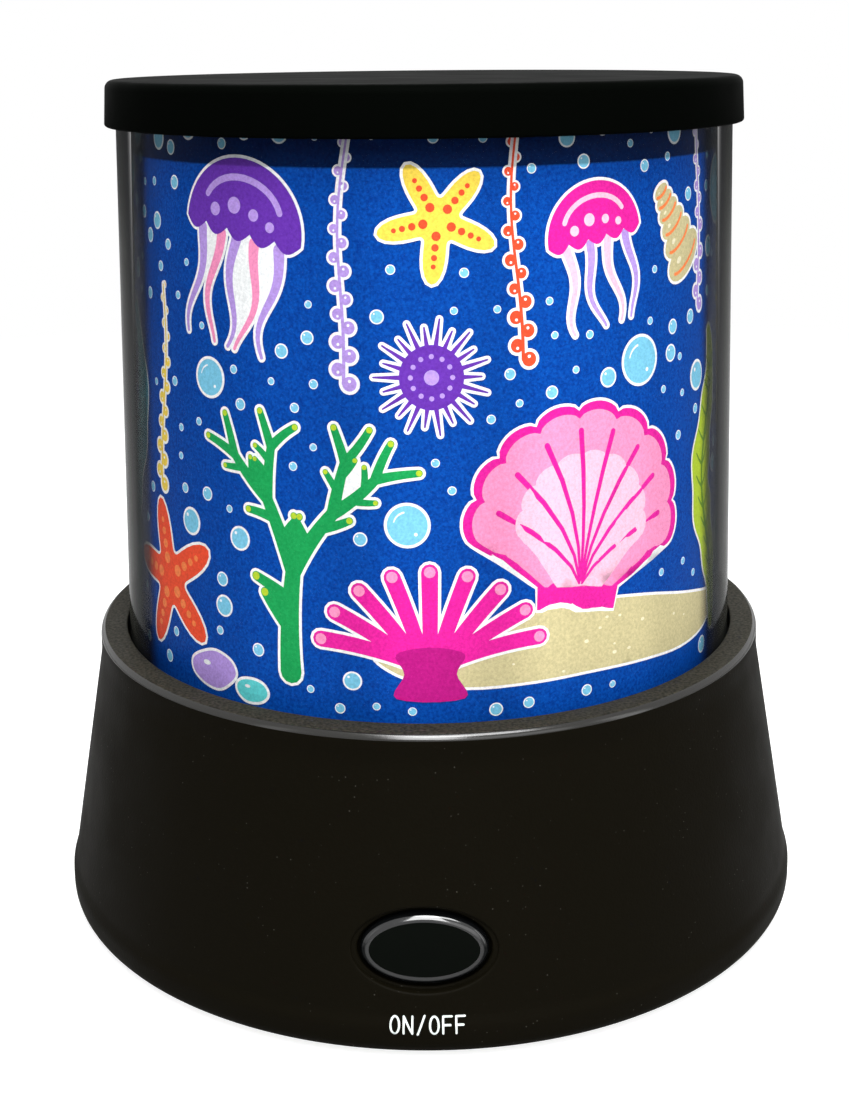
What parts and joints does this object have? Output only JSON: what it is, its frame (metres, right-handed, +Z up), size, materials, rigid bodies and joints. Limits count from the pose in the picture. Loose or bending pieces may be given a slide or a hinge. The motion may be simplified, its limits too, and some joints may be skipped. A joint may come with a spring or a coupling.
{
  "type": "projection night light",
  "caption": "Round projection night light: flared black base with an oval front button, star dome under a clear shade lined with a printed film, and a push-on lid.",
  "frame": {"origin": "on the axis of the base, in the plane of the feet's lower faces", "axes": "+Z up along the shade, the front with the button faces -Y, +X to the right seen from the front"},
  "size_m": [0.1214, 0.1214, 0.1329],
  "materials": {
    "housing": "fine moulded texture",
    "lid": "satin",
    "button": "gloss",
    "tube": "clear, polished",
    "film": "printed film, satin",
    "dome": "smoked, polished",
    "foot": "matt",
    "screw": "zinc plated",
    "contact": "nickel plated",
    "cell": "plain sleeve",
    "board": "paper laminate",
    "lamp_board": "lacquered laminate",
    "chip": "moulded",
    "capacitor": "sleeve",
    "lamp_warm": "clear resin",
    "lamp_red": "tinted resin",
    "lamp_green": "tinted resin",
    "lamp_blue": "tinted resin",
    "wire_red": "soft insulation",
    "wire_black": "soft insulation",
    "wire_grey": "soft insulation"
  },
  "bodies": {
    "base": {"base_housing": "housing", "bottom_cover": "housing", "base_screw_1": "screw", "base_screw_2": "screw", "base_screw_3": "screw", "base_screw_4": "screw", "rubber_foot_1": "foot", "rubber_foot_2": "foot", "rubber_foot_3": "foot", "rubber_foot_4": "foot", "battery_cell_1": "cell", "battery_cell_2": "cell", "battery_cell_3": "cell", "battery_spring_1": "contact", "battery_spring_2": "contact", "battery_spring_3": "contact", "contact_positive": "contact", "contact_bridge_right": "contact", "contact_bridge_left": "contact", "contact_negative": "contact", "switch_body": "contact", "control_board": "board", "board_screw_1": "screw", "board_screw_2": "screw", "control_chip": "chip", "smoothing_capacitor": "capacitor", "power_inlet": "chip", "star_dome": "dome", "dome_retainer": "housing", "dome_screw_1": "screw", "dome_screw_2": "screw", "dome_screw_3": "screw", "lamp_board": "lamp_board", "lamp_screw_1": "screw", "lamp_screw_2": "screw", "lamp_warm": "lamp_warm", "lamp_red": "lamp_red", "lamp_green": "lamp_green", "lamp_blue": "lamp_blue", "wire_positive": "wire_red", "wire_negative": "wire_black", "lamp_ribbon": "wire_grey", "inlet_wire_positive": "wire_red", "inlet_wire_negative": "wire_black"},
    "shade": {"clear_tube": "tube", "printed_film": "film"},
    "lid": {"top_lid": "lid"},
    "button": {"power_button": "button", "switch_plunger": "chip"},
    "door": {"battery_door": "housing", "battery_door_screw": "screw"}
  },
  "joints": [
    {"name": "shade_lift", "type": "slide", "parent": "base", "child": "shade", "axis": [0, 0, 1], "range_m": [0, 0.05]},
    {"name": "lid_lift", "type": "slide", "parent": "shade", "child": "lid", "axis": [0, 0, 1], "range_m": [0, 0.02]},
    {"name": "button_press", "type": "slide", "parent": "base", "child": "button", "axis": [0, 0.9861, -0.1659], "range_m": [0, 0.0012], "stiffness_N_per_m": 400, "springref_m": -0.002},
    {"name": "door_swing", "type": "hinge", "parent": "base", "child": "door", "pos_m": [-0.0314, 0, 0.0019], "axis": [0, 1, 0], "range_deg": [0, 75]}
  ]
}
